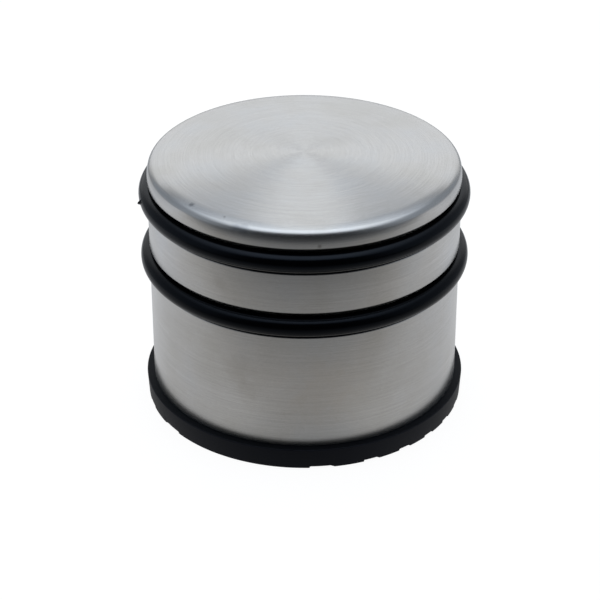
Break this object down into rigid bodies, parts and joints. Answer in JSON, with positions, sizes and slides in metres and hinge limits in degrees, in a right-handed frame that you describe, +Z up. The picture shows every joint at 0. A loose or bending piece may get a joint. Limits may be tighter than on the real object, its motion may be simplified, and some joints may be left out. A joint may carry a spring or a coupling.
{
  "type": "door stop",
  "caption": "Free-standing weighted drum door stop: brushed steel shell on a fluted rubber foot, with rubber bumper rings that protect the door.",
  "frame": {"origin": "centre of the rubber foot's underside, on the floor", "axes": "+Z up along the drum's axis; the flutes under the foot run 25 degrees clockwise of +X seen from above"},
  "size_m": [0.09, 0.09, 0.0727],
  "materials": {
    "brushed_shell": "satin",
    "bumper_rubber": "satin",
    "foot_rubber": "matte",
    "mortar": "matte",
    "disc_plastic": "matte",
    "adhesive": "matte",
    "insert_brass": "satin",
    "screw_steel": "satin"
  },
  "bodies": {
    "root": {"outer_shell": "brushed_shell", "bumper_ring_upper": "bumper_rubber", "bumper_ring_lower": "bumper_rubber", "rubber_base": "foot_rubber", "ballast_casting": "mortar", "closing_disc": "disc_plastic", "adhesive_disc": "adhesive", "threaded_insert_1": "insert_brass", "threaded_insert_2": "insert_brass", "threaded_insert_3": "insert_brass", "disc_screw_1": "screw_steel", "disc_screw_2": "screw_steel", "disc_screw_3": "screw_steel"}
  },
  "joints": []
}
